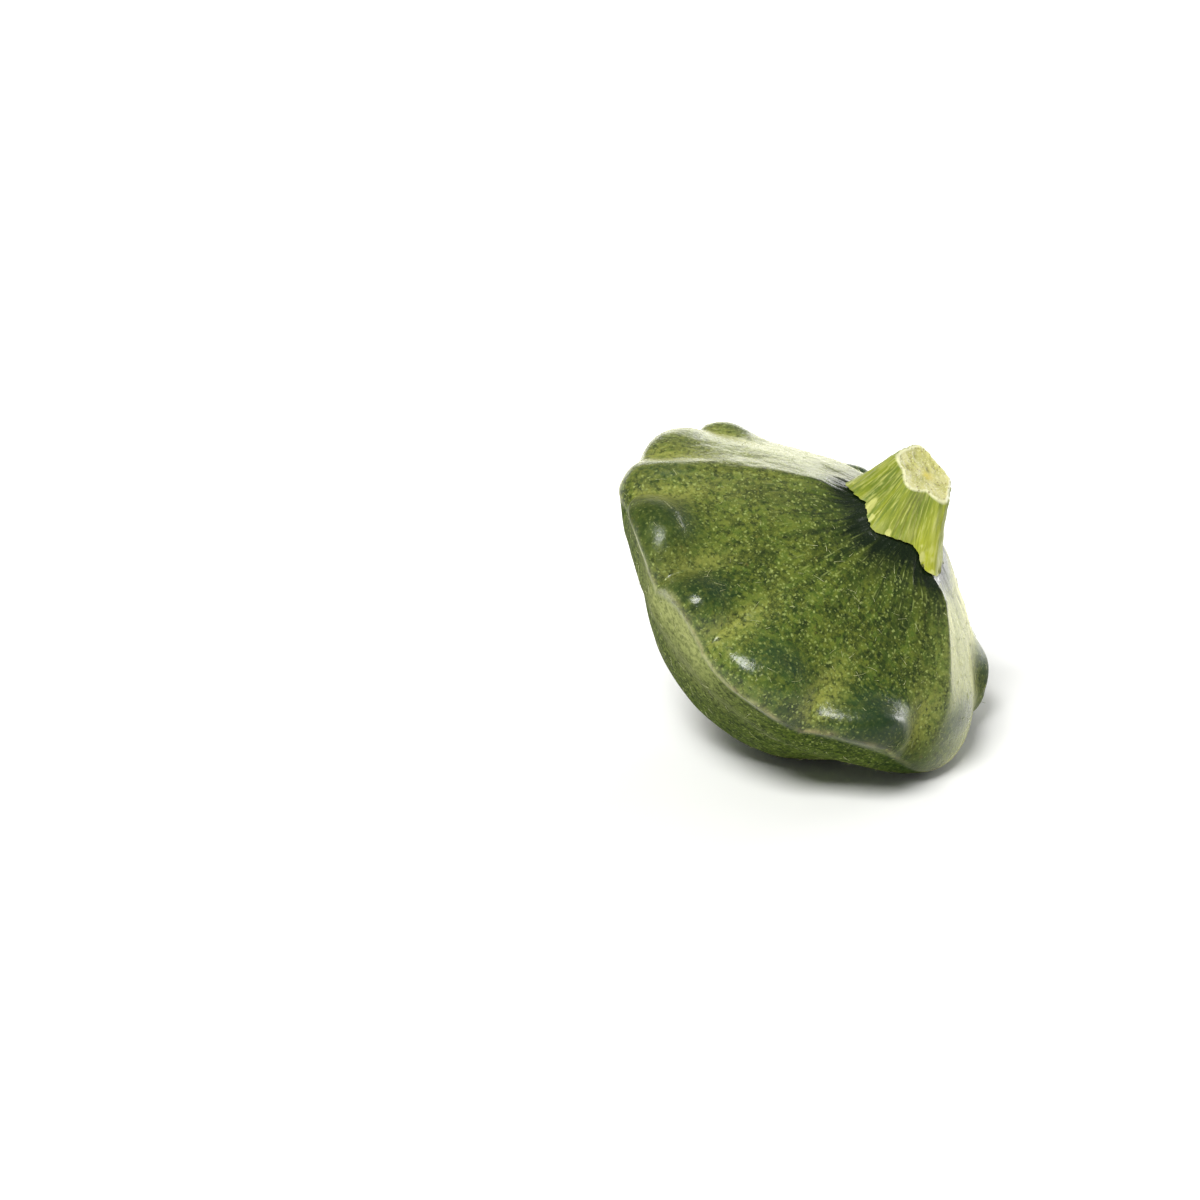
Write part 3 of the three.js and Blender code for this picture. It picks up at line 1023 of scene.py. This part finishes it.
def flecks_and_speckles(look, p, color):
    """Small dark flecks, and fine pale speckles of two sizes, drawn long near the stem."""
    plain = look.ramp(p.knob, 0.1, 0.9, 1.0, 0.65)
    plain = look.times(plain, look.ramp(p.painted_sheen, 0.1, 0.7, 1.0, 0.45))
    plain = look.times(plain, look.ramp(p.shade_and_deep_tone, 0.1, 0.9, 1.0, 0.3))
    flecks = look.times(look.ramp(look.noise(p.place, *FLECKED), 0.50, 0.33), plain)
    color = look.over(color, look.mix(0.35, BLACK_GREEN, DARK_GREEN), flecks, 0.74)
    for scale, size, strength in SPECKLES:
        dots = look.dots(p.shaken, scale, (size * 0.3, size), (0.1, 0.8))
        color = look.over(color, SPECKLE, dots, look.times(plain, strength))
    dashes = look.dots(p.streaks, DASHES, (0.08, 0.34), (0.3, 1.0))
    return look.over(color, SPECKLE, dashes, look.times(p.near, 0.8))


def stem_band_and_shade(look, p, color):
    """A ragged dark band round the stem, partly the skin's own black-green and partly painted
    shade at the stem's foot, with dark creases running out of it.
    """
    crease = look.ramp(look.attribute("crease"), 0.05, 0.45)
    color = look.over(color, BLACK_GREEN, crease, 0.6)
    edge = look.add(p.foot, look.times(look.add(p.drawn, -0.5), 8.0))
    return look.over(color, BLACK_GREEN, look.fade(edge, 1.2, 4.8), 0.93)


def seam_and_scars(look, p, color):
    """The pale seam along the rim, a few brown scars and the corky blossom scar."""
    seam = look.times(look.attribute("welt"), look.ramp(p.patchy, 0.34, 0.58, 0.3, 0.95))
    line = look.mix(look.ramp(p.wide, 0.4, 0.6), BROWN_LINE, PALE_LINE)
    color = look.over(color, line, seam, 0.85)
    scar = look.ramp(look.noise(p.place, *SCARRED), 0.62, 0.7)
    scar = look.times(scar, look.ramp(p.fine, 0.5, 0.62))
    color = look.over(color, SCAR, scar, 0.6)
    cork = look.mix(look.ramp(p.fine, 0.4, 0.6), SCAR, CORK)
    return look.over(color, cork, look.attribute("blossom"), 0.9)


def skin_material():
    look = Look("skin_mottled")
    p = skin_patterns(look)
    color = mottled_ground(look, p)
    color = knobs_and_valleys(look, p, color)
    color = flecks_and_speckles(look, p, color)
    color = stem_band_and_shade(look, p, color)
    color = seam_and_scars(look, p, color)

    pores, _ = look.cells(p.shaken, PORES)
    height = look.add(look.times(look.noise(p.place, *UNEVEN), 0.9), look.times(p.fine, 0.5))
    height = look.add(height, look.times(look.fade(pores, 0.0, 0.4), 0.25))
    look.bump(height, 0.32)

    # Knobs are waxier and shine more. Bare skin is matt and has no sheen, nor has the band.
    waxy = look.ramp(p.knob, 0.3, 1.1)
    bare = look.attribute("bare")
    roughness = look.add(look.ramp(p.patchy, 0.3, 0.7, 0.20, 0.28), look.times(waxy, 0.04))
    roughness = look.add(roughness, look.times(bare, 0.35))
    gloss = look.ramp(bare, 0.0, 1.0, 0.48, 0.015)
    gloss = look.times(gloss, look.ramp(waxy, 0.0, 1.0, 1.0, 2.1))
    downy = look.ramp(bare, 0.0, 1.0, 0.7, 0.04)
    downy = look.times(downy, look.ramp(waxy, 0.0, 1.0, 1.0, 0.3))
    downy = look.times(downy, look.ramp(look.attribute("band"), 0.0, 1.0, 1.0, 0.1))
    return look.finish(
        color, roughness, IOR=1.38, Specular_IOR_Level=gloss,
        Sheen_Weight=downy, Sheen_Roughness=0.3, Sheen_Tint=SHEEN,
    )


# Noise of the stem's colours, and the scale of its strewn cells.
LONG = (1.3, 4.0, 0.6)
THIN = (3.2, 3.0, 0.6)
GRAIN = (2.2, 4.0, 0.65)
CLOUDY = (0.3, 2.0)
CRUMBS = 2.6
SPECKS = 1.7

STEM_GREEN = (0.235, 0.275, 0.015)
STEM_DARK = (0.120, 0.170, 0.010)
STEM_YELLOW = (0.390, 0.410, 0.014)
STEM_PALE = (0.490, 0.500, 0.140)
CUT_CREAM = (0.570, 0.545, 0.240)
CUT_GREEN = (0.430, 0.420, 0.120)
CUT_YELLOW = (0.620, 0.520, 0.060)
CUT_OLIVE = (0.240, 0.230, 0.060)
CUT_WHITE = (0.740, 0.730, 0.460)
CUT_BROWN = (0.210, 0.165, 0.050)


def stem_side(look, streaks, thin):
    """Green streaked with pale and dark, yellow on one side and dark in a hollow."""
    color = look.mix(look.ramp(look.noise(streaks, *LONG), 0.35, 0.62), STEM_DARK, STEM_GREEN)
    color = look.over(color, STEM_YELLOW, look.attribute("gold"), 0.9)
    color = look.over(color, STEM_DARK, look.attribute("hollow"), 0.75)
    color = look.over(color, STEM_PALE, look.ramp(thin, 0.50, 0.66), 0.62)
    color = look.over(color, STEM_DARK, look.ramp(thin, 0.48, 0.34), 0.45)
    color = look.over(color, STEM_PALE, look.ramp(look.attribute("ridge"), 0.55, 1.0), 0.3)
    return look.mix(look.ramp(look.attribute("white"), 0.1, 0.45), color, STEM_PALE)


def cut_face(look, place, grain):
    """Cream and green with a white rim, crumbs, brown specks, pits and a yellow spot."""
    color = look.mix(look.ramp(look.noise(place, *CLOUDY), 0.42, 0.58), CUT_GREEN, CUT_CREAM)
    color = look.over(color, CUT_CREAM, look.ramp(grain, 0.42, 0.65), 0.5)
    color = look.over(color, CUT_WHITE, look.ramp(look.attribute("inset"), 0.85, 0.91), 0.75)
    crumbs = look.dots(place, CRUMBS, (0.20, 0.48), (0.3, 0.6))
    color = look.over(color, CUT_WHITE, crumbs, 0.7)
    specks = look.dots(place, SPECKS, (0.22, 0.46), (0.45, 0.7))
    color = look.over(color, CUT_BROWN, specks, 0.75)
    color = look.over(color, CUT_YELLOW, look.attribute("yellow"), 0.9)
    return look.over(color, CUT_OLIVE, look.attribute("pits"), 0.85)


def stem_material():
    look = Look("stem_ribbed")
    place = look.attribute("place", vector=True)
    streaks = look.attribute("streaks", vector=True)
    thin = look.noise(streaks, *THIN)
    grain = look.noise(place, *GRAIN)
    side = stem_side(look, streaks, thin)
    color = look.mix(look.attribute("cut"), side, cut_face(look, place, grain))
    look.bump(look.add(look.times(thin, 0.6), look.times(grain, 0.5)), 0.7)
    roughness = look.ramp(grain, 0.3, 0.7, 0.42, 0.58)
    return look.finish(color, roughness, Sheen_Weight=0.1, Sheen_Roughness=0.4)


HAIR_DARK = (0.34, 0.37, 0.15)
HAIR_PALE = (0.55, 0.56, 0.30)
FLOOR_GREY = (0.86, 0.86, 0.86)
FLOOR_WHITE = (0.89, 0.89, 0.89)


def hair_material():
    look = Look("hair_pale")
    tint = look.noise(look.object_place(), 900.0)
    return look.finish(look.mix(look.ramp(tint, 0.35, 0.65), HAIR_DARK, HAIR_PALE), 0.6)


def floor_material():
    look = Look("floor_pale")
    tint = look.noise(look.object_place(), 6.0)
    return look.finish(look.mix(tint, FLOOR_GREY, FLOOR_WHITE), 0.75)


def dress(piece, material, node=None):
    """Gives a piece its material, and ties it to the frame."""
    piece.data.materials.append(material)
    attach(piece, "root")
    if node:
        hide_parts(node)


dress(make_fruit(), skin_material(), "fruit")
dress(make_stem(), stem_material(), "stem")
dress(make_hairs(), hair_material())


# ---------------------------------------------------------------- floor, light and camera

RIM = Vector((SHIFT[0], SHIFT[1], RIM_HEIGHT)) * MM


def make_floor():
    mesh = bpy.data.meshes.new("floor")
    corners = [(x * FLOOR_HALF, y * FLOOR_HALF, 0) for x, y in FLOOR_CORNERS]
    mesh.from_pydata(corners, [], [(0, 1, 2, 3)])
    floor = bpy.data.objects.new("floor", mesh)
    bpy.context.scene.collection.objects.link(floor)
    mesh.materials.append(floor_material())


def make_light(name, place, size, power, aim):
    data = bpy.data.lights.new(name, "AREA")
    data.shape = "RECTANGLE"
    data.size, data.size_y = size
    data.energy = power
    data.color = LAMP
    light = bpy.data.objects.new(name, data)
    bpy.context.scene.collection.objects.link(light)
    light.location = place
    direction = Vector(aim) if aim else RIM - light.location
    light.rotation_euler = direction.to_track_quat("-Z", "Y").to_euler()


def make_camera():
    data = bpy.data.cameras.new("camera")
    data.lens = LENS
    data.sensor_width = SENSOR
    camera = bpy.data.objects.new("camera", data)
    bpy.context.scene.collection.objects.link(camera)
    camera.location = RIM + Vector(CAMERA_FROM_RIM) * MM
    camera.rotation_euler = (math.radians(CAMERA_TILT), 0, 0)
    bpy.context.scene.camera = camera


def make_world():
    world = bpy.data.worlds.new("studio")
    world.use_nodes = True
    background = world.node_tree.nodes["Background"]
    background.inputs["Color"].default_value = (*SKY, 1)
    background.inputs["Strength"].default_value = SKY_STRENGTH
    bpy.context.scene.world = world


make_floor()
for light in LIGHTS:
    make_light(*light)
make_world()
make_camera()
bpy.context.scene.view_settings.view_transform = "Standard"
